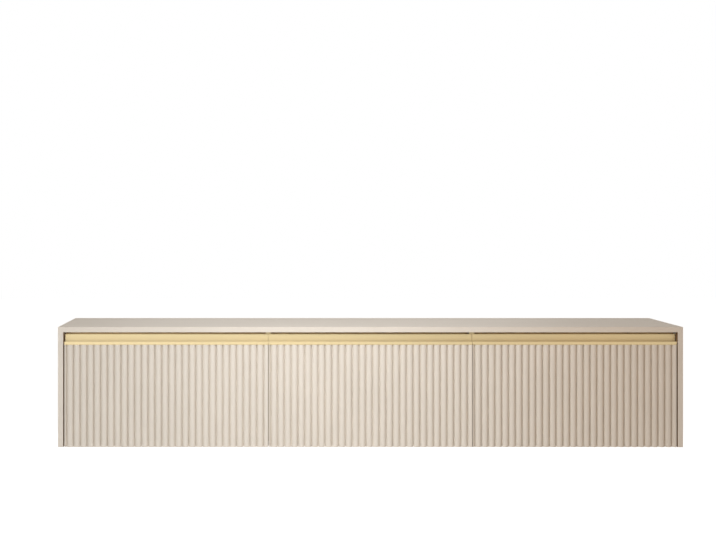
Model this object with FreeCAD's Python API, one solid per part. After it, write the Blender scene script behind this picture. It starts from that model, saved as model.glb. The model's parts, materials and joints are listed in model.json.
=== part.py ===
"""Wall-hung media console: three fluted drawers under a mitred top, on a hidden wall rail.

X runs along the wall, Y points into the wall and Z points up, in millimetres. The origin
is the centre of the wall rail's bolt holes, on the wall's surface. The pieces are modelled
from the console's underside at Z = 0 and moved to that origin as they are saved.
"""

import FreeCAD
import Part
import math
import os

Vector = FreeCAD.Vector

# Carcass
console_width = 2100.0
console_height = 404.0
console_depth = 400.0
board_thickness = 18.0
divider_thickness = 18.0
back_thickness = 6.0
front_rail_height = 30.0
front_rail_thickness = 18.0
front_rail_setback = 30.0
edge_radius = 1.5

# Gaps round the drawer fronts
side_gap = 4.0
between_gap = 2.0
top_gap = 7.4
closing_clearance = 0.3

# Fluted drawer fronts
bay_names = ("left", "middle", "right")
front_thickness = 22.0
rib_pitch = 22.82
rib_fall = 6.5
groove_width = 3.2
groove_depth = 11.0
first_groove = 7.0

# Finger pull, an extruded channel on the top edge of each front
pull_height = 34.6
pull_lip_height = 11.0
pull_wall = 1.6
pull_rear_wall = 2.0
pull_tongue_length = 8.0
pull_tongue_thickness = 2.4
pull_tongue_inset = 13.5
pull_inner_radius = 5.0
pull_lip_radius = 0.7
pull_shadow_step = 1.2
tongue_play = 0.1

# Drawer boxes
box_board = 14.0
box_height = 240.0
box_back_drop = 40.0
box_floor_clearance = 18.0
box_cable_space = 32.8
box_bottom_thickness = 6.0
box_bottom_inset = 10.0
box_groove_depth = 6.0
groove_play = 0.1

# Telescopic runners
runner_length = 300.0
runner_width = 12.7
runner_height = 45.0
runner_sheet = 1.2
runner_play = 0.3
runner_lip = 3.5
runner_mouth = 1.7
runner_bend = 1.0
runner_setback = 2.0
runner_rise = 74.0

# Bumpers on the front edge of the bottom panel
bumper_side = 10.0
bumper_thickness = 1.2
bumper_side_inset = 45.0

# Wall hanging
cleat_sheet = 3.0
cleat_play = 0.2
cleat_hook_depth = 14.0
cleat_corner_radius = 1.0
cleat_tongue_clearance = 3.0
cleat_seat_drop = 56.0
cleat_web_height = 30.0
cabinet_cleat_length = 1860.0
wall_rail_length = 1900.0
wall_rail_web_height = 40.0
wall_hole_radius = 3.25
wall_hole_drop = 24.0
wall_hole_spacing_inner = 406.4
wall_hole_spacing_outer = 1219.2
batten_thickness = 15.0
batten_height = 70.0

# Cable outlets in the back panel
outlet_radius = 30.0
outlet_height = 215.0
grommet_wall = 3.0
grommet_flange_width = 4.0
grommet_flange_thickness = 2.0
grommet_play = 0.2

# Distance under which two points are one
same_place = 1e-4

# Places that follow from the sizes
inner_left = board_thickness - console_width / 2
inner_right = -inner_left
inner_top = console_height - board_thickness
front_face = -console_depth
front_back = front_face + front_thickness
carcass_front = front_back + closing_clearance + bumper_thickness
cleat_stack = 2 * cleat_sheet + cleat_play
batten_front = -cleat_stack - batten_thickness
bay_back = batten_front - back_thickness
front_count = len(bay_names)
front_span = inner_right - inner_left - 2 * side_gap
front_width = (front_span - (front_count - 1) * between_gap) / front_count
front_board_top = inner_top - top_gap - pull_height
box_underside = board_thickness + box_floor_clearance
box_length = bay_back - box_cable_space - front_back
runner_centre_height = box_underside + runner_rise
cleat_seat_height = inner_top - cleat_seat_drop
rail_step_height = cleat_seat_height - cleat_hook_depth
wall_hole_height = rail_step_height - wall_hole_drop


def front_left(index):
    """X of the left edge of a drawer front, where fronts and bays count from the left."""
    return inner_left + side_gap + index * (front_width + between_gap)


def divider_left(index):
    """X of the left face of the divider behind the gap on the right of a front."""
    gap_middle = front_left(index) + front_width + between_gap / 2
    return gap_middle - divider_thickness / 2


def bay_walls(index):
    """X of the left and right walls of a bay."""
    left = inner_left if index == 0 else divider_left(index - 1) + divider_thickness
    right = inner_right if index == front_count - 1 else divider_left(index)
    return left, right


def box(x, y, z):
    """A block between the low and high ends given for each axis."""
    size = [high - low for low, high in (x, y, z)]
    return Part.makeBox(*size, Vector(x[0], y[0], z[0]))


def cylinder_along_y(radius, x, y, z):
    """A cylinder along Y between the two ends in y."""
    return Part.makeCylinder(radius, y[1] - y[0], Vector(x, y[0], z), Vector(0, 1, 0))


def rounded_face(corners, place):
    """A flat face through the corners (a, b, radius), where place puts (a, b) in space."""
    ways_in = []
    ways_out = []
    edges = []
    for index, (a, b, radius) in enumerate(corners):
        corner = Vector(a, b, 0)
        before = Vector(*corners[index - 1][:2], 0) - corner
        after = Vector(*corners[(index + 1) % len(corners)][:2], 0) - corner
        before.normalize()
        after.normalize()
        half_angle = before.getAngle(after) / 2
        inward = before + after
        start = corner + before * (radius / math.tan(half_angle))
        end = corner + after * (radius / math.tan(half_angle))
        if radius:
            inward.normalize()
            middle = corner + inward * (radius / math.sin(half_angle) - radius)
            arc = [place(point.x, point.y) for point in (start, middle, end)]
            edges.append(Part.Arc(*arc).toShape())
        ways_in.append(place(start.x, start.y))
        ways_out.append(place(end.x, end.y))
    for index, start in enumerate(ways_out):
        end = ways_in[(index + 1) % len(corners)]
        if start.distanceToPoint(end) > same_place:
            edges.append(Part.makeLine(start, end))
    return Part.Face(Part.Wire(Part.__sortEdges__(edges)))


def extrude_along_x(corners, x):
    """A bar between the two ends in x, with a section of (y, z, radius) corners."""
    face = rounded_face(corners, lambda y, z: Vector(x[0], y, z))
    return face.extrude(Vector(x[1] - x[0], 0, 0))


def extrude_along_y(corners, y):
    """A bar between the two ends in y, with a section of (x, z, radius) corners."""
    face = rounded_face(corners, lambda x, z: Vector(x, y[0], z))
    return face.extrude(Vector(0, y[1] - y[0], 0))


def mitred_shell():
    """Top panel and side panels: one hoop with rounded edges, cut apart at its mitres."""
    side = console_width / 2
    hoop = [
        (-side, 0, 0),
        (-side, console_height, 0),
        (side, console_height, 0),
        (side, 0, 0),
        (inner_right, 0, 0),
        (inner_right, inner_top, 0),
        (inner_left, inner_top, 0),
        (inner_left, 0, 0),
    ]
    shell = extrude_along_y(hoop, (front_face, 0))
    shown_edges = []
    for edge in shell.Edges:
        at_front = abs(edge.BoundBox.YMax - front_face) < same_place
        at_top = abs(edge.BoundBox.ZMin - console_height) < same_place
        if at_front or (at_top and edge.BoundBox.XLength < same_place):
            shown_edges.append(edge)
    shell = shell.makeFillet(edge_radius, shown_edges)
    reach = board_thickness
    wedge = [
        (-side - reach, console_height + reach, 0),
        (side + reach, console_height + reach, 0),
        (inner_right - reach, inner_top - reach, 0),
        (inner_left + reach, inner_top - reach, 0),
    ]
    wedge = extrude_along_y(wedge, (front_face - reach, reach))
    sides = shell.cut(wedge).Solids
    left, right = sorted(sides, key=lambda solid: solid.CenterOfMass.x)
    return {
        "top_panel": shell.common(wedge).Solids[0],
        "left_side_panel": left,
        "right_side_panel": right,
    }


def bottom_panel():
    """Board between the sides, set back behind the drawer fronts."""
    return box((inner_left, inner_right), (carcass_front, 0), (0, board_thickness))


def divider(index):
    """Upright board between two bays."""
    left = divider_left(index)
    return box(
        (left, left + divider_thickness),
        (carcass_front, bay_back),
        (board_thickness, inner_top),
    )


def front_rail(index):
    """Stiffener under the top panel in one bay, set back so that the gap over the pull is dark."""
    face = carcass_front + front_rail_setback
    return box(
        bay_walls(index),
        (face, face + front_rail_thickness),
        (inner_top - front_rail_height, inner_top),
    )


def outlet_centre(index):
    """X of the cable outlet of one bay."""
    return sum(bay_walls(index)) / 2


def back_panel():
    """Thin board behind the bays, with a round cable outlet in each."""
    panel = box(
        (inner_left, inner_right),
        (bay_back, batten_front),
        (board_thickness, inner_top),
    )
    for index in range(front_count):
        hole = cylinder_along_y(
            outlet_radius, outlet_centre(index), (bay_back, batten_front), outlet_height
        )
        panel = panel.cut(hole)
    return panel


def cable_grommet(index):
    """Flanged ring that lines a cable outlet, turned about the outlet's axis."""
    outer = outlet_radius - grommet_play
    bore = outer - grommet_wall
    rim = outlet_radius + grommet_flange_width
    flange_face = bay_back - grommet_flange_thickness
    section = [
        (bore, flange_face, 0),
        (rim, flange_face, 0),
        (rim, bay_back, 0),
        (outer, bay_back, 0),
        (outer, batten_front, 0),
        (bore, batten_front, 0),
    ]
    ring = rounded_face(section, lambda radius, y: Vector(radius, y, 0))
    ring = ring.revolve(Vector(0, 0, 0), Vector(0, 1, 0), 360)
    ring.translate(Vector(outlet_centre(index), 0, outlet_height))
    return ring


def bumpers(index):
    """Two soft square pads that the drawer front closes against."""
    half = bumper_side / 2
    middle = board_thickness / 2
    pads = []
    for x in (
        front_left(index) + bumper_side_inset,
        front_left(index) + front_width - bumper_side_inset,
    ):
        pads.append(
            box(
                (x - half, x + half),
                (carcass_front - bumper_thickness, carcass_front),
                (middle - half, middle + half),
            )
        )
    return pads


def hanging_batten():
    """Timber rail behind the back panel that carries the cabinet's cleat."""
    return box(
        (inner_left, inner_right),
        (batten_front, -cleat_stack),
        (inner_top - batten_height, inner_top),
    )


def cabinet_cleat():
    """Hook rail on the batten: its tongue drops behind the hook of the wall rail."""
    web_back = -cleat_stack + cleat_sheet
    seat = cleat_seat_height
    tongue_foot = rail_step_height + cleat_tongue_clearance
    section = [
        (-cleat_stack, seat, 0),
        (-cleat_stack, seat + cleat_sheet + cleat_web_height, 0),
        (web_back, seat + cleat_sheet + cleat_web_height, 0),
        (web_back, seat + cleat_sheet, cleat_corner_radius),
        (0, seat + cleat_sheet, cleat_corner_radius),
        (0, tongue_foot, 0),
        (-cleat_sheet, tongue_foot, 0),
        (-cleat_sheet, seat, 0),
    ]
    half = cabinet_cleat_length / 2
    return extrude_along_x(section, (-half, half))


def wall_rail():
    """Hook rail on the wall, with two pairs of bolt holes through its web."""
    hook_top = cleat_seat_height
    step_top = rail_step_height
    web_foot = step_top - wall_rail_web_height
    section = [
        (0, web_foot, 0),
        (-cleat_sheet, web_foot, 0),
        (-cleat_sheet, step_top - cleat_sheet, cleat_corner_radius),
        (-cleat_stack, step_top - cleat_sheet, cleat_corner_radius),
        (-cleat_stack, hook_top, 0),
        (-cleat_sheet - cleat_play, hook_top, 0),
        (-cleat_sheet - cleat_play, step_top, 0),
        (0, step_top, 0),
    ]
    half = wall_rail_length / 2
    rail = extrude_along_x(section, (-half, half))
    for spacing in (wall_hole_spacing_inner, wall_hole_spacing_outer):
        for x in (-spacing / 2, spacing / 2):
            rail = rail.cut(
                cylinder_along_y(wall_hole_radius, x, (-cleat_sheet, 0), wall_hole_height)
            )
    return rail


def fluted_face(index):
    """The front board's section seen from above: round ribs with deep, narrow grooves between."""
    first = front_left(index) + first_groove
    groove_count = math.floor((front_width - first_groove) / rib_pitch) + 1
    rib_half = (rib_pitch - groove_width) / 2
    shoulder = front_face + rib_fall
    floor = front_face + groove_depth
    edges = []
    for rib in range(groove_count + 1):
        crest = first + (rib - 0.5) * rib_pitch
        foot = Vector(crest + rib_half, shoulder, 0)
        arc = (Vector(crest - rib_half, shoulder, 0), Vector(crest, front_face, 0), foot)
        edges.append(Part.Arc(*arc).toShape())
        if rib < groove_count:
            next_foot = foot + Vector(groove_width, 0, 0)
            groove = [foot, Vector(foot.x, floor, 0), Vector(next_foot.x, floor, 0), next_foot]
            for start, end in zip(groove, groove[1:]):
                edges.append(Part.makeLine(start, end))
    start = edges[0].Vertexes[0].Point
    end = edges[-1].Vertexes[1].Point
    back_start = Vector(start.x, front_back, 0)
    back_end = Vector(end.x, front_back, 0)
    for first_end, second_end in ((end, back_end), (back_end, back_start), (back_start, start)):
        edges.append(Part.makeLine(first_end, second_end))
    return Part.Face(Part.Wire(Part.__sortEdges__(edges)))


def tongue_section(play):
    """Low and high Y and Z of the pull's tongue, grown by a play."""
    front = front_face + pull_tongue_inset
    return (
        (front - play, front + pull_tongue_thickness + play),
        (front_board_top - pull_tongue_length - play, front_board_top),
    )


def drawer_front(index):
    """Fluted board, cut to the front's width, with a slot along its top for the pull."""
    left = front_left(index)
    span = (left, left + front_width)
    fluted = fluted_face(index).extrude(Vector(0, 0, front_board_top))
    board = fluted.common(box(span, (front_face, front_back), (0, front_board_top)))
    slot_y, slot_z = tongue_section(tongue_play)
    return board.cut(box(span, slot_y, slot_z))


def drawer_pull(index):
    """Extruded channel: a lip flush with the ribs, a finger trough and a tall rear wall.

    A small step under the lip leaves a shadow line between the lip and the ribs.
    """
    left = front_left(index)
    (tongue_front, tongue_back), (tongue_foot, _) = tongue_section(0)
    lip_back = front_face + pull_wall
    rear_front = front_back - pull_rear_wall
    top = front_board_top + pull_height
    floor = front_board_top + pull_wall
    lip_top = front_board_top + pull_lip_height
    step_back = front_face + pull_shadow_step
    step_top = front_board_top + pull_shadow_step
    section = [
        (step_back, front_board_top, 0),
        (step_back, step_top, 0),
        (front_face, step_top, 0),
        (front_face, lip_top, pull_lip_radius),
        (lip_back, lip_top, pull_lip_radius),
        (lip_back, floor, pull_inner_radius),
        (rear_front, floor, pull_inner_radius),
        (rear_front, top, pull_lip_radius),
        (front_back, top, 0),
        (front_back, front_board_top, 0),
        (tongue_back, front_board_top, 0),
        (tongue_back, tongue_foot, 0),
        (tongue_front, tongue_foot, 0),
        (tongue_front, front_board_top, 0),
    ]
    return extrude_along_x(section, (left, left + front_width))


def box_walls(index):
    """X of the outer faces of a drawer box, inside its two runners."""
    left, right = bay_walls(index)
    return left + runner_width, right - runner_width


def box_bottom(index, play):
    """Drawer bottom, held in the grooves of the four box boards and grown by a play."""
    left, right = box_walls(index)
    side = box_board - box_groove_depth
    return box(
        (left + side - play, right - side + play),
        (front_back + side - play, front_back + box_length - side + play),
        (
            box_underside + box_bottom_inset - play,
            box_underside + box_bottom_inset + box_bottom_thickness + play,
        ),
    )


def drawer_box(index):
    """The boards of one drawer box, by name."""
    left, right = box_walls(index)
    length = (front_back, front_back + box_length)
    height = (box_underside, box_underside + box_height)
    back_height = (box_underside, box_underside + box_height - box_back_drop)
    between = (left + box_board, right - box_board)
    boards = {
        "left_side": box((left, left + box_board), length, height),
        "right_side": box((right - box_board, right), length, height),
        "inner_front": box(between, (front_back, front_back + box_board), height),
        "back": box(between, (length[1] - box_board, length[1]), back_height),
    }
    groove = box_bottom(index, groove_play)
    boards = {name: board.cut(groove) for name, board in boards.items()}
    boards["bottom"] = box_bottom(index, 0)
    return boards


def lipped_channel(back, lip, half):
    """Corners of a runner's channel, from its web at back to its lips, half each way high.

    The lips are bent round. The web's corners, hidden against the next member, are sharp.
    """
    sheet = runner_sheet
    bend = runner_bend
    return [
        (back, -half, 0),
        (lip, -half, bend),
        (lip, runner_lip - half, 0),
        (lip - sheet, runner_lip - half, 0),
        (lip - sheet, sheet - half, 0),
        (back + sheet, sheet - half, 0),
        (back + sheet, half - sheet, 0),
        (lip - sheet, half - sheet, 0),
        (lip - sheet, half - runner_lip, 0),
        (lip, half - runner_lip, 0),
        (lip, half, bend),
        (back, half, 0),
    ]


def runner_members(index):
    """The telescopic runners on both walls of a bay, by name."""
    half = runner_height / 2
    sheet = runner_sheet
    play = runner_play
    outer_lip = runner_width - runner_mouth
    middle_back = sheet + play
    middle_half = half - sheet - play
    middle_lip = outer_lip - sheet - play
    inner_back = middle_back + sheet + play
    inner_half = middle_half - sheet - play
    inner_neck = middle_half - runner_lip - play
    sections = {
        "outer": lipped_channel(0, outer_lip, half),
        "middle": lipped_channel(middle_back, middle_lip, middle_half),
        "inner": [
            (runner_width, -inner_neck, 0),
            (runner_width, inner_neck, 0),
            (inner_back + sheet, inner_neck, 0),
            (inner_back + sheet, inner_half, 0),
            (inner_back, inner_half, 0),
            (inner_back, inner_neck - sheet, 0),
            (runner_width - sheet, inner_neck - sheet, 0),
            (runner_width - sheet, sheet - inner_neck, 0),
            (inner_back, sheet - inner_neck, 0),
            (inner_back, -inner_half, 0),
            (inner_back + sheet, -inner_half, 0),
            (inner_back + sheet, -inner_neck, 0),
        ],
    }
    start = carcass_front + runner_setback
    ends = (start, start + runner_length)
    walls = {"left": (bay_walls(index)[0], 1), "right": (bay_walls(index)[1], -1)}
    members = {}
    for hand, (wall, way) in walls.items():
        for member, section in sections.items():
            corners = [(wall + way * s, runner_centre_height + z, r) for s, z, r in section]
            members[f"{hand}_runner_{member}"] = extrude_along_y(corners, ends)
    return members


def all_pieces():
    """Every piece of the console by its node's name."""
    pieces = mitred_shell()
    pieces["bottom_panel"] = bottom_panel()
    pieces["left_divider"] = divider(0)
    pieces["right_divider"] = divider(1)
    pieces["back_panel"] = back_panel()
    pieces["hanging_batten"] = hanging_batten()
    pieces["cabinet_cleat"] = cabinet_cleat()
    pieces["wall_rail"] = wall_rail()
    grommets = []
    pads = []
    for index, bay in enumerate(bay_names):
        grommets.append(cable_grommet(index))
        pads += bumpers(index)
        pieces[f"{bay}_front_rail"] = front_rail(index)
        pieces[f"{bay}_drawer_front"] = drawer_front(index)
        pieces[f"{bay}_drawer_pull"] = drawer_pull(index)
        for name, board in drawer_box(index).items():
            pieces[f"{bay}_drawer_{name}"] = board
        for name, member in runner_members(index).items():
            pieces[f"{bay}_bay_{name}"] = member
    pieces["cable_grommets"] = Part.makeCompound(grommets)
    pieces["front_bumpers"] = Part.makeCompound(pads)
    return pieces


os.makedirs("parts", exist_ok=True)
for name, piece in all_pieces().items():
    piece.translate(Vector(0, 0, -wall_hole_height))
    piece.exportStep(f"parts/{name}.step")
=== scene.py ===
"""Looks of the wall-hung media console: finishes, fronts, pulls, trim, fixings, light and camera.

Lengths are in metres. X runs along the wall, Y points into the wall and Z points up.
"""

import bmesh
import bpy
import json
import math

from contextlib import contextmanager
from mathutils import Matrix, Vector


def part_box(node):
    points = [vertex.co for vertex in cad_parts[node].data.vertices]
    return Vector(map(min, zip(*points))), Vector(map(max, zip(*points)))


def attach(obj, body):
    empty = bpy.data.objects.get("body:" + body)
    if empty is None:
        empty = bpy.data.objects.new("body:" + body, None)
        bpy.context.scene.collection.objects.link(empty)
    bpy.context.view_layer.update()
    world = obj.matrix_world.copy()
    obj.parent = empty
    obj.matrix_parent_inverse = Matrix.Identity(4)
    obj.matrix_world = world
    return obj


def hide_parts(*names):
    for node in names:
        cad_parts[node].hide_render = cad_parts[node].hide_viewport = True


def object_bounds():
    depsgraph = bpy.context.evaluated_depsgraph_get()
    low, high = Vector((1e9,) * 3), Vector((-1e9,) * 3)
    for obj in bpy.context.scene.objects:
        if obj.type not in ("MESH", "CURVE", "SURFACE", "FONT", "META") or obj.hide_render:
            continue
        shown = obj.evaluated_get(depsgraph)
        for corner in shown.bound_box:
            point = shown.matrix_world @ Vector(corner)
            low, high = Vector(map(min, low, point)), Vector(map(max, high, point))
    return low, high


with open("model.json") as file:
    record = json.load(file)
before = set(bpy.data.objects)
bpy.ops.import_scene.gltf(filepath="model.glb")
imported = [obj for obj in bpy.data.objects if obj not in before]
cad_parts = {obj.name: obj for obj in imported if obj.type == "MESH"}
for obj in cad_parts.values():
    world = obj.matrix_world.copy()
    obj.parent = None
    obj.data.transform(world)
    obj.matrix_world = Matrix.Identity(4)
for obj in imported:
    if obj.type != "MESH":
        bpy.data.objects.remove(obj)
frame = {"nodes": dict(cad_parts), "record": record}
cad_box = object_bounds()
nodes = frame["nodes"]

BAYS = ("left", "middle", "right")
HANDS = ("left", "right")

# Camera, level and square to the fronts, a little left of the middle
CAMERA_PLACE = (-0.3375, -4.878, 0.4804)
CAMERA_LENS = 67.05
CAMERA_SHIFT = (0.1229, -0.0736)

# Colours of the finishes
CREAM = (0.79, 0.73, 0.65)
CHAMPAGNE = (0.555, 0.455, 0.265)
# Bright gold on the rails in the gap over the pulls: painted shade, lifted to stand in for the
# golden shade seen in that gap
GAP_SHADE_GILT = (0.95, 0.70, 0.36)
BOX_BEIGE = (0.72, 0.67, 0.60)
BACK_BEIGE = (0.70, 0.65, 0.58)
ALUMINIUM = (0.56, 0.57, 0.58)
STEEL = (0.60, 0.61, 0.63)
GROMMET_BEIGE = (0.70, 0.64, 0.56)
BUMPER_WHITE = (0.82, 0.81, 0.79)
# Dark, middle and light parts of the grain
BEECH = ((0.50, 0.33, 0.18), (0.66, 0.47, 0.28), (0.74, 0.56, 0.36))
# Dark beech for the lining in the end gaps: painted shade, it stands in for the shade there
GAP_SHADE_BEECH = ((0.20, 0.11, 0.05), (0.27, 0.16, 0.08), (0.31, 0.19, 0.10))

# Fluted fronts
RIB_PITCH = 0.02282
RIB_DROP = 0.0065
RIB_STEPS = 16
GROOVE_WIDTH = 0.0032
GROOVE_DEPTH = 0.011
FIRST_GROOVE = 0.007
EASED_EDGE = 0.0004
TONGUE_INSET = 0.0135
TONGUE_THICKNESS = 0.0024
TONGUE_LENGTH = 0.008
TONGUE_PLAY = 0.0001
SLOT_OVERRUN = 0.001

# Finger pulls
LIP_HEIGHT = 0.011
LIP_WALL = 0.0016
REAR_WALL = 0.002
SHADOW_STEP = 0.0012
TROUGH_RADIUS = 0.005
TROUGH_STEPS = 8
LIP_RADIUS = 0.0007
LIP_STEPS = 3

# Screw heads with a cross recess
SCREW_SIDES = 16
PAN_RADIUS = 0.004
PAN_HEIGHT = 0.0022
PAN_DOME = 0.0012
PAN_RECESS = 0.00132
DOME_STEPS = 2
FLUSH_RADIUS = 0.0038
FLUSH_HEIGHT = 0.0002
FLUSH_EDGE = 0.0001
FLUSH_RECESS = 0.00018
CROSS_RADIUS = 0.0022
CROSS_TAPER = 0.7
# Angle of a recess corner folded into one quarter, and how far it is drawn in along X and Y
CROSS_CORNERS = ((22.5, (1.0, 0.6)), (45.0, (0.33, 0.33)), (67.5, (0.6, 1.0)))
# How far from its place a recess corner is still found: a share of the radius, and degrees
CROSS_REACH = 1.1
CROSS_ANGLE_PLAY = 1

# Runner fixings and release levers, from the front end of a member
RUNNER_SCREW_PLACES = (0.035, 0.140, 0.262)
MEMBER_SHEET = 0.0012
LEVER_START = 0.066
LEVER_THICKNESS = 0.0025
LEVER_OUTLINE = (
    (0.000, -0.0050),
    (0.009, -0.0050),
    (0.013, -0.0025),
    (0.046, -0.0025),
    (0.050, -0.0070),
    (0.058, -0.0070),
    (0.058, 0.0025),
    (0.013, 0.0025),
    (0.009, 0.0050),
    (0.000, 0.0050),
)
LEVER_EDGE = 0.0004

# Other fixings
FRONT_SCREW_INSETS = (0.045, 0.312)
FRONT_SCREW_HEIGHTS = (0.060, 0.190)
BOX_SCREW_HEIGHTS = (0.020, 0.125, 0.180)
CLEAT_SCREW_PITCH = 0.29
CLEAT_SCREWS = 7
CLEAT_SCREW_DROP = 0.015
CLEAT_SHEET = 0.003
BACK_SCREW_HEIGHTS = (0.05, 0.16, 0.27)

# Cable grommets and bumpers
GROMMET_STEPS = 64
GROMMET_WALL = 0.003
GROMMET_PLAY = 0.0002
OUTLET_RADIUS = 0.030
FLANGE_WIDTH = 0.004
FLANGE_THICKNESS = 0.002
FLANGE_EDGE = 0.0008
FLANGE_STEPS = 3
BUMPER_SIDE = 0.010
BUMPER_INSET = 0.045
BUMPER_CORNER = 0.0015
BUMPER_CORNER_STEPS = 4
BUMPER_EDGE = 0.0005
BUMPER_EDGE_STEPS = 3

# Boards with eased edges
BOARD_EDGE = 0.0006

# Gold edging on the dividers and dark timber lining in the end gaps: both are painted shade, the
# gold for the warm shade in the joints and the dark timber for the shade in the end gaps
EDGING_THICKNESS = 0.0005
EDGING_EASED = 0.0002
LINING_INSET = 0.0004

# Modelling: when two places are one, when corners are welded, and a section's first face
SAME_PLACE = 1e-6
WELD_DISTANCE = 0.00001
SEED_SIZE = 0.01
# Degrees between faces from which an edge is eased, and from which it stays a crease
EASED_FROM = 50
CREASED_FROM = 35

# Floor and surroundings
FLOOR_DROP = 0.45
FLOOR_REACH = 30.0
FLOOR_COLOUR = (0.82, 0.85, 0.88, 1)
FLOOR_GLOW = 0.73
WORLD_COLOUR = (1.0, 0.92, 0.84, 1)
WORLD_STRENGTH = 0.38

# Painted shadow: an oval under the console where the floor glows less, darker there than its cast
# shadow alone. Its size, and where the change starts and ends as shares of that size
SHADE_MIDDLE = (0, -0.42, 0)
SHADE_REACH = (1.3, 0.46, 1.0)
PAINTED_SHADOW_GLOW = 0.26
SHADE_START = 0.5
SHADE_END = 1.4

# Lamps: name, place, point aimed at, width and height, power, degrees of spread, colour
WHITE = (1.0, 1.0, 1.0)
AMBER = (1.0, 0.55, 0.22)
SOFTBOXES = (
    ("near_softbox", (-0.15, -1.60, 0.75), (-0.22, -0.40, -0.12), (0.6, 0.6), 3.05, 95, WHITE),
    ("far_softbox", (-1.40, -2.80, 0.66), (-0.50, -0.40, -0.05), (0.9, 0.8), 19.5, 180, WHITE),
    ("warm_softbox", (0.95, -1.60, 0.45), (0.85, -0.40, -0.10), (0.5, 0.5), 0.5, 90, AMBER),
    ("left_softbox", (-2.60, 0.15, 0.00), (0.00, 0.15, -0.10), (0.9, 0.8), 6.0, 180, WHITE),
    ("right_softbox", (2.60, 0.15, 0.00), (0.00, 0.15, -0.10), (0.9, 0.8), 6.0, 180, WHITE),
    ("rear_softbox", (0.00, 2.80, 0.35), (0.00, 0.00, -0.05), (2.4, 2.0), 20.0, 180, WHITE),
)


def add_node(tree, kind, **values):
    """A shader node of one kind, with its settings and unlinked inputs filled in."""
    node = tree.nodes.new("ShaderNode" + kind)
    for name, value in values.items():
        if hasattr(node, name):
            setattr(node, name, value)
        else:
            node.inputs[name.replace("_", " ")].default_value = value
    return node


def new_material(name):
    """A fresh material with its tree and shader."""
    material = bpy.data.materials.new(name)
    material.use_nodes = True
    tree = material.node_tree
    return material, tree, tree.nodes["Principled BSDF"]


def mapped_place(tree, scale):
    """Object coordinates stretched by a scale for each axis."""
    place = add_node(tree, "TexCoord")
    mapping = add_node(tree, "Mapping")
    mapping.inputs["Scale"].default_value = scale
    tree.links.new(place.outputs["Object"], mapping.inputs["Vector"])
    return mapping.outputs["Vector"]


def noise(tree, vector, scale, detail=2.0, roughness=0.5):
    """Noise from 0 to 1 over mapped coordinates."""
    texture = add_node(tree, "TexNoise")
    texture.inputs["Scale"].default_value = scale
    texture.inputs["Detail"].default_value = detail
    texture.inputs["Roughness"].default_value = roughness
    tree.links.new(vector, texture.inputs["Vector"])
    return texture.outputs["Fac"]


def ramp(tree, value, stops):
    """Colours by value, from stops of (position, colour)."""
    node = add_node(tree, "ValToRGB")
    band = node.color_ramp
    while len(band.elements) < len(stops):
        band.elements.new(1.0)
    for element, (position, colour) in zip(band.elements, stops):
        element.position = position
        element.color = colour
    tree.links.new(value, node.inputs["Fac"])
    return node.outputs["Color"]


def span(tree, value, low, high):
    """Value from 0 to 1 moved to the span from low to high."""
    node = add_node(tree, "MapRange")
    node.inputs["To Min"].default_value = low
    node.inputs["To Max"].default_value = high
    tree.links.new(value, node.inputs["Value"])
    return node.outputs["Result"]


def bump(tree, shader, height, depth, strength=1.0):
    """Small relief of a depth in metres on the shader's normal."""
    node = add_node(tree, "Bump")
    node.inputs["Strength"].default_value = strength
    node.inputs["Distance"].default_value = depth
    tree.links.new(height, node.inputs["Height"])
    tree.links.new(node.outputs["Normal"], shader.inputs["Normal"])


def tint(colour, factor):
    """A colour made lighter or darker, with its alpha of 1 added."""
    return tuple(min(1.0, channel * factor) for channel in colour) + (1,)


def cream_lacquer():
    """Satin sprayed lacquer: warm cream, with faint cloudiness and orange peel."""
    material, tree, shader = new_material("cream_lacquer")
    cloud = noise(tree, mapped_place(tree, (1, 1, 1)), scale=5.0, detail=3.0)
    colour = ramp(tree, cloud, [(0.3, tint(CREAM, 0.985)), (0.7, tint(CREAM, 1.015))])
    tree.links.new(colour, shader.inputs["Base Color"])
    peel = noise(tree, mapped_place(tree, (1, 1, 1)), scale=900.0, detail=2.0)
    tree.links.new(span(tree, peel, low=0.56, high=0.66), shader.inputs["Roughness"])
    shader.inputs["Specular IOR Level"].default_value = 0.2
    bump(tree, shader, peel, depth=0.00002, strength=0.5)
    return material


def champagne_gold():
    """Anodised aluminium, brushed along its length."""
    material, tree, shader = new_material("champagne_gold")
    shader.inputs["Metallic"].default_value = 1.0
    place = mapped_place(tree, (6, 1600, 1600))
    streaks = noise(tree, place, scale=1.0, detail=3.0, roughness=0.6)
    colour = ramp(tree, streaks, [(0.25, tint(CHAMPAGNE, 0.95)), (0.75, tint(CHAMPAGNE, 1.04))])
    tree.links.new(colour, shader.inputs["Base Color"])
    tree.links.new(span(tree, streaks, low=0.48, high=0.58), shader.inputs["Roughness"])
    bump(tree, shader, streaks, depth=0.00001, strength=0.4)
    return material


def gilt_foil_gap_shade():
    """Gold foil on the rails behind the gap over the pulls, brighter than the pulls: painted
    shade, its colour stands in for the golden shade seen in that gap.
    """
    material, tree, shader = new_material("gilt_board")
    shader.inputs["Metallic"].default_value = 1.0
    cloud = noise(tree, mapped_place(tree, (3, 120, 120)), scale=1.0, detail=3.0)
    colour = ramp(tree, cloud, [(0.3, tint(GAP_SHADE_GILT, 0.95)), (0.7, tint(GAP_SHADE_GILT, 1.05))])
    tree.links.new(colour, shader.inputs["Base Color"])
    tree.links.new(span(tree, cloud, low=0.5, high=0.6), shader.inputs["Roughness"])
    bump(tree, shader, cloud, depth=0.00002, strength=0.3)
    return material


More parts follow.
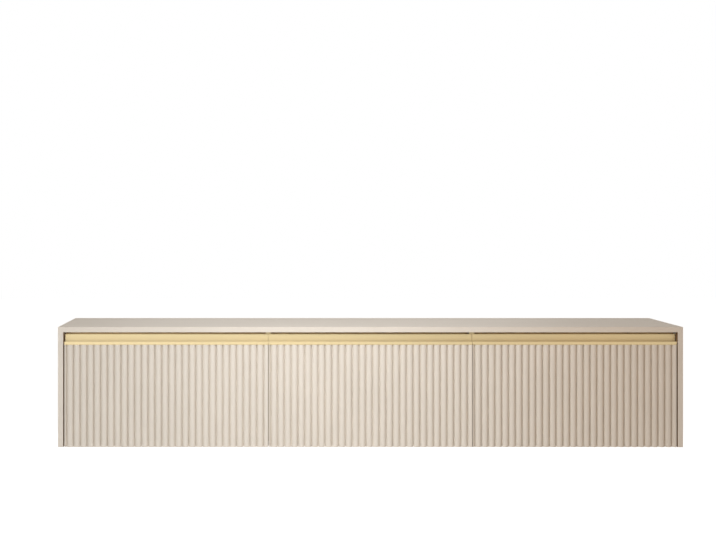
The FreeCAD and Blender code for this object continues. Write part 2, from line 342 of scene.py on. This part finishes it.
def melamine(name, base):
    """Matt board face with a fine woven grain."""
    material, tree, shader = new_material(name)
    along = noise(tree, mapped_place(tree, (40, 900, 900)), scale=1.0, detail=3.0)
    upright = noise(tree, mapped_place(tree, (900, 900, 40)), scale=1.0, detail=3.0)
    both = add_node(tree, "Math", operation="ADD")
    tree.links.new(along, both.inputs[0])
    tree.links.new(upright, both.inputs[1])
    weave = span(tree, both.outputs[0], low=-0.5, high=0.5)
    colour = ramp(tree, weave, [(0.2, tint(base, 0.93)), (0.8, tint(base, 1.05))])
    tree.links.new(colour, shader.inputs["Base Color"])
    shader.inputs["Roughness"].default_value = 0.55
    bump(tree, shader, weave, depth=0.00003, strength=0.5)
    return material


def planed_timber(name, grain, rings_along, dark, middle, light):
    """Planed timber, with long grain where the scale is small and rings along an axis."""
    material, tree, shader = new_material(name)
    place = mapped_place(tree, grain)
    rings = add_node(tree, "TexWave", bands_direction=rings_along)
    rings.inputs["Scale"].default_value = 1.6
    rings.inputs["Distortion"].default_value = 7.0
    rings.inputs["Detail"].default_value = 3.0
    tree.links.new(place, rings.inputs["Vector"])
    stops = [(0.0, (*dark, 1)), (0.6, (*middle, 1)), (1.0, (*light, 1))]
    colour = ramp(tree, rings.outputs["Fac"], stops)
    tree.links.new(colour, shader.inputs["Base Color"])
    shader.inputs["Roughness"].default_value = 0.6
    bump(tree, shader, rings.outputs["Fac"], depth=0.0001, strength=0.5)
    return material


def drawn_metal(name, base, smoothest, roughest, grain):
    """Rolled or extruded metal, with fine marks that are long where the scale is small."""
    material, tree, shader = new_material(name)
    shader.inputs["Metallic"].default_value = 1.0
    marks = noise(tree, mapped_place(tree, grain), scale=1.0, detail=4.0, roughness=0.6)
    colour = ramp(tree, marks, [(0.2, tint(base, 0.9)), (0.8, tint(base, 1.05))])
    tree.links.new(colour, shader.inputs["Base Color"])
    tree.links.new(span(tree, marks, smoothest, roughest), shader.inputs["Roughness"])
    bump(tree, shader, marks, depth=0.00001, strength=0.4)
    return material


def moulded(name, base, roughness, grain):
    """Moulded plastic or rubber with a fine spark-eroded grain."""
    material, tree, shader = new_material(name)
    cells = noise(tree, mapped_place(tree, (1, 1, 1)), scale=grain, detail=2.0)
    colour = ramp(tree, cells, [(0.3, tint(base, 0.96)), (0.7, tint(base, 1.03))])
    tree.links.new(colour, shader.inputs["Base Color"])
    shader.inputs["Roughness"].default_value = roughness
    bump(tree, shader, cells, depth=0.00003, strength=0.5)
    return material


FINISHES = {
    "cream_lacquer": cream_lacquer(),
    "champagne_gold": champagne_gold(),
    "gilt_board": gilt_foil_gap_shade(),
    "drawer_board": melamine("drawer_board", BOX_BEIGE),
    "back_board": melamine("back_board", BACK_BEIGE),
    "batten_timber": planed_timber("batten_timber", (1.2, 26, 26), "Z", *BEECH),
    "rail_aluminium": drawn_metal("rail_aluminium", ALUMINIUM, 0.35, 0.50, (8, 700, 700)),
    "runner_steel": drawn_metal("runner_steel", STEEL, 0.25, 0.40, (700, 8, 700)),
    "grommet_plastic": moulded("grommet_plastic", GROMMET_BEIGE, roughness=0.45, grain=1500.0),
    "bumper_rubber": moulded("bumper_rubber", BUMPER_WHITE, roughness=0.35, grain=2500.0),
}


def dress_frame():
    """Each piece of the frame gets the finish of its slot."""
    for part in frame["record"]["subparts"]:
        mesh = nodes[part["node"]].data
        mesh.materials.clear()
        mesh.materials.append(FINISHES[part["material_slot"]])


def seen_directly(tree):
    """1 for rays from the camera, a mirror or glass, and 0 for scattered light."""
    rays = add_node(tree, "LightPath")
    looked_at = add_node(tree, "Math", operation="MAXIMUM")
    shown = add_node(tree, "Math", operation="MAXIMUM")
    tree.links.new(rays.outputs["Is Camera Ray"], looked_at.inputs[0])
    tree.links.new(rays.outputs["Is Glossy Ray"], looked_at.inputs[1])
    tree.links.new(looked_at.outputs[0], shown.inputs[0])
    tree.links.new(rays.outputs["Is Transmission Ray"], shown.inputs[1])
    return shown.outputs[0]


def choose(piece):
    """Makes one piece the only one selected, and the active one."""
    bpy.ops.object.select_all(action="DESELECT")
    piece.select_set(True)
    bpy.context.view_layer.objects.active = piece


@contextmanager
def editing(piece, kind):
    """Edit mode on one piece, with nothing selected at first."""
    choose(piece)
    bpy.ops.object.mode_set(mode="EDIT")
    bpy.ops.mesh.select_mode(type=kind)
    bpy.ops.mesh.select_all(action="DESELECT")
    yield
    bpy.ops.object.mode_set(mode="OBJECT")


def pick(piece, kind, wanted):
    """Selects the vertices, edges or faces that are wanted, by their middle and themselves."""
    mesh = bmesh.from_edit_mesh(piece.data)
    elements = {"VERT": mesh.verts, "EDGE": mesh.edges, "FACE": mesh.faces}[kind]
    bpy.ops.mesh.select_mode(type=kind)
    bpy.ops.mesh.select_all(action="DESELECT")
    for element in elements:
        corners = [element.co] if kind == "VERT" else [vertex.co for vertex in element.verts]
        middle = sum(corners, Vector()) / len(corners)
        if wanted(middle, element):
            element.select_set(True)
    mesh.select_flush_mode()
    bmesh.update_edit_mesh(piece.data)


def near(value, target):
    """Whether a coordinate is at a place."""
    return abs(value - target) < SAME_PLACE


def named(piece_name):
    """The primitive just added, named, with its place moved into its mesh."""
    bpy.ops.object.transform_apply(location=True, rotation=True, scale=True)
    piece = bpy.context.object
    piece.name = piece_name
    piece.data.name = piece_name
    return piece


def one_vertex(piece_name, place):
    """A piece of one vertex, to extrude a section from."""
    bpy.ops.object.select_all(action="DESELECT")
    bpy.ops.mesh.primitive_plane_add(size=SEED_SIZE, location=place)
    piece = named(piece_name)
    with editing(piece, "VERT"):
        bpy.ops.mesh.select_all(action="SELECT")
        bpy.ops.mesh.merge(type="CENTER")
    return piece


def apply_modifier(piece, kind, **settings):
    """Adds a modifier with its settings and applies it."""
    choose(piece)
    modifier = piece.modifiers.new(kind.lower(), kind)
    for name, value in settings.items():
        setattr(modifier, name, value)
    bpy.ops.object.modifier_apply(modifier=modifier.name)


def ease_edges(piece, width, segments=2):
    """Rounds every edge where faces meet at a sharp enough angle."""
    apply_modifier(
        piece,
        "BEVEL",
        width=width,
        segments=segments,
        limit_method="ANGLE",
        angle_limit=math.radians(EASED_FROM),
    )


def smooth(piece):
    """Smooth shading with creases at the sharper edges, which keeps flat faces flat."""
    choose(piece)
    bpy.ops.object.shade_smooth_by_angle(angle=math.radians(CREASED_FROM))
    apply_modifier(piece, "WEIGHTED_NORMAL", keep_sharp=True)


def copied(piece, name, shift):
    """A copy with its own mesh, moved by a shift."""
    mesh = piece.data.copy()
    mesh.name = name
    mesh.transform(Matrix.Translation(shift))
    twin = bpy.data.objects.new(name, mesh)
    bpy.context.scene.collection.objects.link(twin)
    return twin


def grouped(pattern, name, facing, places, twist=1.0):
    """Copies of an upright pattern, one at each place and all facing a way, as one piece.

    Each is twisted about its own axis by so many radians more than the one before.
    """
    turn = Vector(facing).to_track_quat("Z", "Y").to_matrix().to_4x4()
    twins = []
    for count, place in enumerate(places):
        twin = copied(pattern, name, (0, 0, 0))
        spun = Matrix.Rotation(count * twist, 4, "Z")
        twin.data.transform(Matrix.Translation(place) @ turn @ spun)
        twins.append(twin)
    bpy.ops.object.select_all(action="DESELECT")
    for twin in twins:
        twin.select_set(True)
    bpy.context.view_layer.objects.active = twins[0]
    bpy.ops.object.join()
    twins[0].name = name
    twins[0].data.name = name
    return twins[0]


def fit(piece, body, slot, finish=None):
    """Gives a piece its body and a finish, which is the slot's own finish unless one is given."""
    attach(piece, body)
    piece.data.materials.clear()
    piece.data.materials.append(finish or FINISHES[slot])


def extruded_bar(name, section, start, end):
    """A bar along X with a section of (y, z) corners."""
    bar = one_vertex(name, (start, *section[0]))
    with editing(bar, "VERT"):
        bpy.ops.mesh.select_all(action="SELECT")
        for before, after in zip(section, section[1:]):
            step = (0, after[0] - before[0], after[1] - before[1])
            bpy.ops.mesh.extrude_vertices_move(TRANSFORM_OT_translate={"value": step})
        bpy.ops.mesh.select_all(action="SELECT")
        bpy.ops.mesh.edge_face_add()
        bpy.ops.mesh.extrude_region_move(TRANSFORM_OT_translate={"value": (end - start, 0, 0)})
        bpy.ops.mesh.select_all(action="SELECT")
        bpy.ops.mesh.normals_make_consistent(inside=False)
    return bar


def round_edges_along_x(bar, corners, radius, segments):
    """Rounds the long edges of a bar that run through (y, z) corners."""
    def wanted(middle, edge):
        along_x = near(edge.verts[0].co.y, edge.verts[1].co.y) and near(
            edge.verts[0].co.z, edge.verts[1].co.z
        )
        return along_x and any(near(middle.y, y) and near(middle.z, z) for y, z in corners)

    with editing(bar, "EDGE"):
        pick(bar, "EDGE", wanted)
        bpy.ops.mesh.bevel(offset=radius, segments=segments, affect="EDGES")


def turn_ribs(low, high):
    """The ribbed face of a front: a round rib and a narrow groove, repeated past the width."""
    half = (RIB_PITCH - GROOVE_WIDTH) / 2
    radius = (half**2 + RIB_DROP**2) / (2 * RIB_DROP)
    shoulder = low.x + FIRST_GROOVE + GROOVE_WIDTH / 2 - RIB_PITCH
    face = one_vertex("ribbed_face", (shoulder, low.y + RIB_DROP, low.z))
    with editing(face, "VERT"):
        bpy.ops.mesh.select_all(action="SELECT")
        bpy.ops.mesh.extrude_vertices_move(
            TRANSFORM_OT_translate={"value": (0, 0, high.z - low.z)}
        )
        bpy.ops.mesh.select_all(action="SELECT")
        bpy.ops.mesh.spin(
            steps=RIB_STEPS,
            angle=2 * math.asin(half / radius),
            center=(shoulder + half, low.y + radius, 0),
            axis=(0, 0, -1),
        )
        pick(face, "EDGE", lambda middle, edge: near(middle.x, shoulder + 2 * half))
        wall = GROOVE_DEPTH - RIB_DROP
        for step in ((0, wall, 0), (GROOVE_WIDTH, 0, 0), (0, -wall, 0)):
            bpy.ops.mesh.extrude_edges_move(TRANSFORM_OT_translate={"value": step})
    # One more than the grooves, and one to spare, because both end ribs are cut later
    ribs = math.floor((high.x - low.x - FIRST_GROOVE) / RIB_PITCH) + 2
    apply_modifier(
        face,
        "ARRAY",
        count=ribs,
        use_relative_offset=False,
        use_constant_offset=True,
        constant_offset_displace=(RIB_PITCH, 0, 0),
        use_merge_vertices=True,
        merge_threshold=WELD_DISTANCE,
    )
    return face


def carve_fluted_front(low, high):
    """A front board with round ribs, closed at the back and ends, slotted for its pull."""
    board = turn_ribs(low, high)
    depth = high.y - low.y
    half_height = (low.z + high.z) / 2
    with editing(board, "EDGE"):
        for place, side in ((low, "clear_inner"), (high, "clear_outer")):
            bpy.ops.mesh.select_all(action="SELECT")
            bpy.ops.mesh.bisect(plane_co=place, plane_no=(1, 0, 0), **{side: True})
        pick(
            board,
            "EDGE",
            lambda middle, edge: edge.is_boundary and near(middle.z, half_height),
        )
        bpy.ops.mesh.extrude_edges_move(TRANSFORM_OT_translate={"value": (0, depth, 0)})
        bpy.ops.transform.resize(value=(1, 0, 1), center_override=(0, high.y, 0))
        pick(
            board,
            "EDGE",
            lambda middle, edge: near(middle.y, high.y) and near(middle.z, half_height),
        )
        bpy.ops.mesh.bridge_edge_loops()
        for end in (low.z, high.z):
            pick(board, "EDGE", lambda middle, edge: edge.is_boundary and near(middle.z, end))
            bpy.ops.mesh.edge_face_add()
        bpy.ops.mesh.select_all(action="SELECT")
        bpy.ops.mesh.normals_make_consistent(inside=False)
    cut_tongue_slot(board, low, high)
    ease_edges(board, EASED_EDGE)
    smooth(board)
    return board


def cut_tongue_slot(board, low, high):
    """A slot along a front's top edge for the tongue of its pull."""
    slot_front = low.y + TONGUE_INSET - TONGUE_PLAY
    slot_back = low.y + TONGUE_INSET + TONGUE_THICKNESS + TONGUE_PLAY
    slot_floor = high.z - TONGUE_LENGTH - TONGUE_PLAY
    slot_top = high.z + SLOT_OVERRUN
    section = [
        (slot_front, slot_floor),
        (slot_back, slot_floor),
        (slot_back, slot_top),
        (slot_front, slot_top),
    ]
    cutter = extruded_bar("slot_cutter", section, low.x - SLOT_OVERRUN, high.x + SLOT_OVERRUN)
    apply_modifier(board, "BOOLEAN", operation="DIFFERENCE", solver="EXACT", object=cutter)
    bpy.data.objects.remove(cutter)


def fit_fronts():
    """The three ribbed boards, all alike."""
    first_low, first_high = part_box("left_drawer_front")
    pattern = carve_fluted_front(first_low, first_high)
    for bay in BAYS:
        low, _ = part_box(f"{bay}_drawer_front")
        front = copied(pattern, f"{bay}_fluted_front", low - first_low)
        fit(front, f"{bay}_drawer", "cream_lacquer")
        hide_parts(f"{bay}_drawer_front")
    bpy.data.objects.remove(pattern)


def fit_pulls():
    """The extruded finger pulls, with a filleted trough and a shadow step under the lip."""
    low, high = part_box("left_drawer_pull")
    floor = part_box("left_drawer_front")[1].z
    tongue = low.y + TONGUE_INSET
    lip_back = low.y + LIP_WALL
    rear_front = high.y - REAR_WALL
    trough = floor + LIP_WALL
    lip_top = floor + LIP_HEIGHT
    section = [
        (low.y + SHADOW_STEP, floor),
        (low.y + SHADOW_STEP, floor + SHADOW_STEP),
        (low.y, floor + SHADOW_STEP),
        (low.y, lip_top),
        (lip_back, lip_top),
        (lip_back, trough),
        (rear_front, trough),
        (rear_front, high.z),
        (high.y, high.z),
        (high.y, floor),
        (tongue + TONGUE_THICKNESS, floor),
        (tongue + TONGUE_THICKNESS, low.z),
        (tongue, low.z),
        (tongue, floor),
    ]
    bar = extruded_bar("pull_bar", section, low.x, high.x)
    hollows = [(lip_back, trough), (rear_front, trough)]
    crests = [(low.y, lip_top), (lip_back, lip_top), (rear_front, high.z), (high.y, high.z)]
    round_edges_along_x(bar, hollows, TROUGH_RADIUS, TROUGH_STEPS)
    round_edges_along_x(bar, crests, LIP_RADIUS, LIP_STEPS)
    smooth(bar)
    for bay in BAYS:
        place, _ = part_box(f"{bay}_drawer_pull")
        pull = copied(bar, f"{bay}_finger_pull", place - low)
        fit(pull, f"{bay}_drawer", "champagne_gold")
        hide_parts(f"{bay}_drawer_pull")
    bpy.data.objects.remove(bar)


def turned_head(name, radius, height, dome, recess):
    """A round screw head with a domed rim and a cross recess, facing up from the origin."""
    bpy.ops.object.select_all(action="DESELECT")
    bpy.ops.mesh.primitive_cylinder_add(
        vertices=SCREW_SIDES, radius=radius, depth=height, location=(0, 0, height / 2)
    )
    head = named(name)
    centre = (0, 0, height)

    def corner_at(middle, degrees):
        folded = math.degrees(math.atan2(abs(middle.y), abs(middle.x)))
        inside = middle.xy.length < CROSS_RADIUS * CROSS_REACH
        on_angle = abs(folded - degrees) < CROSS_ANGLE_PLAY
        return near(middle.z, height) and inside and on_angle

    with editing(head, "EDGE"):
        pick(
            head,
            "EDGE",
            lambda middle, edge: all(near(vertex.co.z, height) for vertex in edge.verts),
        )
        bpy.ops.mesh.bevel(offset=dome, segments=DOME_STEPS, affect="EDGES")
        pick(head, "FACE", lambda middle, face: near(middle.z, height))
        bpy.ops.mesh.inset(thickness=radius - dome - CROSS_RADIUS)
        for degrees, (along_x, along_y) in CROSS_CORNERS:
            pick(head, "VERT", lambda middle, vertex: corner_at(middle, degrees))
            bpy.ops.transform.resize(value=(along_x, along_y, 1), center_override=centre)
        pick(
            head,
            "FACE",
            lambda middle, face: near(middle.z, height) and middle.xy.length < SAME_PLACE,
        )
        bpy.ops.mesh.extrude_region_move(TRANSFORM_OT_translate={"value": (0, 0, -recess)})
        bpy.ops.transform.resize(value=(CROSS_TAPER, CROSS_TAPER, 1), center_override=centre)
    smooth(head)
    return head


def fit_screws():
    """Screws of the drawer boxes, the cabinet cleat and the back panel."""
    pan = turned_head("pan_head", PAN_RADIUS, PAN_HEIGHT, PAN_DOME, PAN_RECESS)
    for bay in BAYS:
        low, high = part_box(f"{bay}_drawer_inner_front")
        columns = [low.x + inset for inset in FRONT_SCREW_INSETS]
        columns += [low.x + high.x - column for column in columns]
        columns.sort()
        places = [(x, high.y, low.z + height) for x in columns for height in FRONT_SCREW_HEIGHTS]
        screws = grouped(pan, f"{bay}_drawer_front_screws", (0, 1, 0), places)
        fit(screws, f"{bay}_drawer", "runner_steel")
        for hand, way in (("left", -1), ("right", 1)):
            side_low, side_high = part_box(f"{bay}_drawer_{hand}_side")
            back_low, back_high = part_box(f"{bay}_drawer_back")
            x = side_low.x if way < 0 else side_high.x
            rows = ((low.y + high.y) / 2, (back_low.y + back_high.y) / 2)
            places = [(x, y, side_low.z + height) for y in rows for height in BOX_SCREW_HEIGHTS]
            screws = grouped(pan, f"{bay}_drawer_{hand}_side_screws", (way, 0, 0), places)
            fit(screws, f"{bay}_drawer", "runner_steel")
    low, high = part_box("cabinet_cleat")
    first = -CLEAT_SCREW_PITCH * (CLEAT_SCREWS - 1) / 2
    row = [first + CLEAT_SCREW_PITCH * count for count in range(CLEAT_SCREWS)]
    places = [(x, low.y + CLEAT_SHEET, high.z - CLEAT_SCREW_DROP) for x in row]
    fit(grouped(pan, "cleat_screws", (0, 1, 0), places), "carcass", "runner_steel")
    low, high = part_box("back_panel")
    places = []
    for divider in ("left_divider", "right_divider"):
        divider_low, divider_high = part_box(divider)
        middle = (divider_low.x + divider_high.x) / 2
        places += [(middle, high.y, low.z + height) for height in BACK_SCREW_HEIGHTS]
    fit(grouped(pan, "back_panel_screws", (0, 1, 0), places), "carcass", "runner_steel")
    bpy.data.objects.remove(pan)


def fit_runner_fixings():
    """Flush screws of the outer members, and screws and release levers of the inner members."""
    pan = turned_head("pan_head", PAN_RADIUS, PAN_HEIGHT, PAN_DOME, PAN_RECESS)
    flush = turned_head("flush_head", FLUSH_RADIUS, FLUSH_HEIGHT, FLUSH_EDGE, FLUSH_RECESS)
    for bay in BAYS:
        for hand, way in (("left", 1), ("right", -1)):
            runner = f"{bay}_bay_{hand}_runner"
            low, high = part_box(f"{runner}_outer")
            height = (low.z + high.z) / 2
            web = low.x + MEMBER_SHEET if way > 0 else high.x - MEMBER_SHEET
            places = [(web, low.y + place, height) for place in RUNNER_SCREW_PLACES]
            screws = grouped(flush, f"{runner}_outer_screws", (way, 0, 0), places)
            fit(screws, "carcass", "runner_steel")
            low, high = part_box(f"{runner}_inner")
            web = high.x - MEMBER_SHEET if way > 0 else low.x + MEMBER_SHEET
            places = [(web, low.y + place, height) for place in RUNNER_SCREW_PLACES]
            screws = grouped(pan, f"{runner}_inner_screws", (-way, 0, 0), places)
            fit(screws, f"{bay}_drawer", "runner_steel")
            outline = [(low.y + LEVER_START + y, height + z) for y, z in LEVER_OUTLINE]
            ends = sorted((web, web - way * LEVER_THICKNESS))
            lever = extruded_bar(f"{runner}_release_lever", outline, *ends)
            ease_edges(lever, LEVER_EDGE)
            smooth(lever)
            fit(lever, f"{bay}_drawer", "grommet_plastic")
    bpy.data.objects.remove(pan)
    bpy.data.objects.remove(flush)


def fit_grommets():
    """Cable grommets with a softened flange, turned about the middle of each outlet."""
    low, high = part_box("cable_grommets")
    height = (low.z + high.z) / 2
    flange_back = low.y + FLANGE_THICKNESS
    outer = OUTLET_RADIUS - GROMMET_PLAY
    bore = outer - GROMMET_WALL
    section = [
        (bore, low.y),
        (OUTLET_RADIUS + FLANGE_WIDTH, low.y),
        (OUTLET_RADIUS + FLANGE_WIDTH, flange_back),
        (outer, flange_back),
        (outer, high.y),
        (bore, high.y),
        (bore, low.y),
    ]
    ring = one_vertex("grommet_ring", (*section[0], 0))
    with editing(ring, "VERT"):
        bpy.ops.mesh.select_all(action="SELECT")
        for before, after in zip(section, section[1:]):
            step = (after[0] - before[0], after[1] - before[1], 0)
            bpy.ops.mesh.extrude_vertices_move(TRANSFORM_OT_translate={"value": step})
        bpy.ops.mesh.select_all(action="SELECT")
        bpy.ops.mesh.spin(steps=GROMMET_STEPS, angle=math.tau, center=(0, 0, 0), axis=(0, 1, 0))
        bpy.ops.mesh.select_all(action="SELECT")
        bpy.ops.mesh.remove_doubles(threshold=WELD_DISTANCE)
        bpy.ops.mesh.normals_make_consistent(inside=False)
    ease_edges(ring, FLANGE_EDGE, FLANGE_STEPS)
    smooth(ring)
    for bay in BAYS:
        left, right = (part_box(f"{bay}_bay_{hand}_runner_outer") for hand in HANDS)
        middle = (left[0].x + right[1].x) / 2
        grommet = copied(ring, f"{bay}_cable_grommet", (middle, 0, height))
        fit(grommet, "carcass", "grommet_plastic")
        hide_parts("cable_grommets")
    bpy.data.objects.remove(ring)


def fit_bumpers():
    """Soft pads with rounded corners and a softened face, two behind each front."""
    low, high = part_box("front_bumpers")
    middle = (low.z + high.z) / 2
    thickness = high.y - low.y
    bpy.ops.object.select_all(action="DESELECT")
    bpy.ops.mesh.primitive_cube_add(
        size=1, location=(0, 0, thickness / 2), scale=(BUMPER_SIDE, BUMPER_SIDE, thickness)
    )
    pad = named("bumper_pad")
    with editing(pad, "EDGE"):
        pick(pad, "EDGE", lambda middle, edge: near(middle.z, thickness / 2))
        bpy.ops.mesh.bevel(offset=BUMPER_CORNER, segments=BUMPER_CORNER_STEPS, affect="EDGES")
        pick(
            pad,
            "EDGE",
            lambda middle, edge: all(near(vertex.co.z, thickness) for vertex in edge.verts),
        )
        bpy.ops.mesh.bevel(offset=BUMPER_EDGE, segments=BUMPER_EDGE_STEPS, affect="EDGES")
    smooth(pad)
    for bay in BAYS:
        front_low, front_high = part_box(f"{bay}_drawer_front")
        ends = (front_low.x + BUMPER_INSET, front_high.x - BUMPER_INSET)
        places = [(x, high.y, middle) for x in ends]
        pads = grouped(pad, f"{bay}_bumper_pads", (0, -1, 0), places, twist=0.0)
        fit(pads, "carcass", "bumper_rubber")
        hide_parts("front_bumpers")
    bpy.data.objects.remove(pad)


def ease_board(node, body, slot):
    """A board with eased edges in place of a sharp one."""
    board = copied(nodes[node], f"{node}_board", (0, 0, 0))
    with editing(board, "VERT"):
        bpy.ops.mesh.select_all(action="SELECT")
        bpy.ops.mesh.remove_doubles(threshold=WELD_DISTANCE)
    ease_edges(board, BOARD_EDGE)
    smooth(board)
    fit(board, body, slot)
    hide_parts(node)


def fit_eased_boards():
    """Eased edges on the boards that show below or with a drawer open, and on the batten."""
    for name in ("bottom_panel", "left_divider", "right_divider"):
        ease_board(name, "carcass", "cream_lacquer")
    ease_board("hanging_batten", "carcass", "batten_timber")
    for bay in BAYS:
        # The rails' gold is painted shade for the gap over the pulls
        ease_board(f"{bay}_front_rail", "carcass", "gilt_board")
        for name in ("inner_front", "left_side", "right_side", "back"):
            ease_board(f"{bay}_drawer_{name}", f"{bay}_drawer", "drawer_board")


def edge_dividers():
    """Gold edging down the front edge of each divider, behind the joint of two fronts: painted
    shade, its gold stands in for the warm shade seen in each joint.
    """
    for divider in ("left_divider", "right_divider"):
        low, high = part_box(divider)
        section = [
            (low.y - EDGING_THICKNESS, low.z),
            (low.y, low.z),
            (low.y, high.z),
            (low.y - EDGING_THICKNESS, high.z),
        ]
        edging = extruded_bar(f"{divider}_edging", section, low.x, high.x)
        ease_edges(edging, EDGING_EASED)
        smooth(edging)
        # Painted shade: the gold stands in for the warm shade in the joints
        fit(edging, "carcass", "champagne_gold")


def shade_end_gaps():
    """Dark timber lining on each side panel, where an end front comes close to it: painted shade,
    a dark sheet that makes the end gap look shaded.
    """
    # Painted shade: a dark timber colour stands in for the shade in the end gaps
    shade_timber = planed_timber("painted_gap_shade", (26, 26, 1.2), "Y", *GAP_SHADE_BEECH)
    for bay, on_right in (("left", False), ("right", True)):
        panel_low, panel_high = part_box(f"{bay}_side_panel")
        fore, aft = panel_low.y + LINING_INSET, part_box(f"{bay}_drawer_front")[1].y
        foot, head = panel_low.z + LINING_INSET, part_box("top_panel")[0].z
        section = [(fore, foot), (aft, foot), (aft, head), (fore, head)]
        start = panel_low.x - EDGING_THICKNESS if on_right else panel_high.x
        lining = extruded_bar(f"{bay}_gap_shade_lining", section, start, start + EDGING_THICKNESS)
        ease_edges(lining, EDGING_EASED)
        smooth(lining)
        fit(lining, "carcass", "batten_timber", shade_timber)


def floor_material():
    """Pale matt floor that shows as white, and clear from below.

    It glows less in an oval under the console: a painted shadow that darkens the floor there, and
    lets the console's cast shadow show on it.
    """
    material, tree, shader = new_material("pale_floor")
    shader.inputs["Base Color"].default_value = FLOOR_COLOUR
    shader.inputs["Roughness"].default_value = 1.0
    shader.inputs["Specular IOR Level"].default_value = 0.0
    shader.inputs["Emission Color"].default_value = (1, 1, 1, 1)
    place = add_node(tree, "TexCoord")
    mapping = add_node(tree, "Mapping", vector_type="TEXTURE")
    mapping.inputs["Location"].default_value = SHADE_MIDDLE
    mapping.inputs["Scale"].default_value = SHADE_REACH
    tree.links.new(place.outputs["Object"], mapping.inputs["Vector"])
    distance = add_node(tree, "VectorMath", operation="LENGTH")
    tree.links.new(mapping.outputs["Vector"], distance.inputs[0])
    # Painted shadow: less glow inside the oval under the console
    glow = add_node(tree, "MapRange", interpolation_type="SMOOTHSTEP")
    glow.inputs["From Min"].default_value = SHADE_START
    glow.inputs["From Max"].default_value = SHADE_END
    glow.inputs["To Min"].default_value = PAINTED_SHADOW_GLOW
    glow.inputs["To Max"].default_value = FLOOR_GLOW
    tree.links.new(distance.outputs["Value"], glow.inputs["Value"])
    shown = add_node(tree, "Math", operation="MULTIPLY")
    tree.links.new(glow.outputs["Result"], shown.inputs[0])
    tree.links.new(seen_directly(tree), shown.inputs[1])
    tree.links.new(shown.outputs[0], shader.inputs["Emission Strength"])
    side = add_node(tree, "NewGeometry")
    clear = add_node(tree, "BsdfTransparent")
    one_way = add_node(tree, "MixShader")
    tree.links.new(side.outputs["Backfacing"], one_way.inputs["Fac"])
    tree.links.new(shader.outputs["BSDF"], one_way.inputs[1])
    tree.links.new(clear.outputs["BSDF"], one_way.inputs[2])
    tree.links.new(one_way.outputs["Shader"], tree.nodes["Material Output"].inputs["Surface"])
    return material


def lay_floor():
    """A wide floor below the console."""
    height = cad_box[0][2] - FLOOR_DROP
    bpy.ops.mesh.primitive_plane_add(size=FLOOR_REACH, location=(0, 0, height))
    floor = bpy.context.object
    floor.name = "floor"
    floor.data.materials.append(floor_material())


def light_world():
    """Even soft light, seen as plain white behind the console."""
    world = bpy.data.worlds.new("studio")
    bpy.context.scene.world = world
    world.use_nodes = True
    tree = world.node_tree
    lit = tree.nodes["Background"]
    lit.inputs["Color"].default_value = WORLD_COLOUR
    lit.inputs["Strength"].default_value = WORLD_STRENGTH
    seen = add_node(tree, "Background", Color=(1, 1, 1, 1), Strength=1.0)
    mix = add_node(tree, "MixShader")
    tree.links.new(seen_directly(tree), mix.inputs["Fac"])
    tree.links.new(lit.outputs[0], mix.inputs[1])
    tree.links.new(seen.outputs[0], mix.inputs[2])
    tree.links.new(mix.outputs[0], tree.nodes["World Output"].inputs["Surface"])


def add_softbox(name, place, aim, size, power, spread, colour):
    """An oblong area lamp at a place, turned to a point and hidden from the camera."""
    lamp = bpy.data.lights.new(name, "AREA")
    lamp.shape = "RECTANGLE"
    lamp.size, lamp.size_y = size
    lamp.energy = power
    lamp.color = colour
    lamp.spread = math.radians(spread)
    softbox = bpy.data.objects.new(name, lamp)
    bpy.context.scene.collection.objects.link(softbox)
    softbox.location = place
    softbox.visible_camera = False
    way = softbox.location - Vector(aim)
    softbox.rotation_euler = way.to_track_quat("Z", "Y").to_euler()


def add_camera():
    """The camera that frames the console square from the front."""
    camera = bpy.data.objects.new("camera", bpy.data.cameras.new("camera"))
    bpy.context.scene.collection.objects.link(camera)
    camera.location = CAMERA_PLACE
    camera.rotation_euler = (math.pi / 2, 0, 0)
    camera.data.lens = CAMERA_LENS
    camera.data.shift_x, camera.data.shift_y = CAMERA_SHIFT
    bpy.context.scene.camera = camera


bpy.ops.object.select_all(action="DESELECT")
bpy.context.scene.view_settings.view_transform = "Standard"
dress_frame()
fit_fronts()
fit_pulls()
fit_eased_boards()
edge_dividers()
shade_end_gaps()
fit_screws()
fit_runner_fixings()
fit_grommets()
fit_bumpers()
lay_floor()
light_world()
for softbox in SOFTBOXES:
    add_softbox(*softbox)
add_camera()
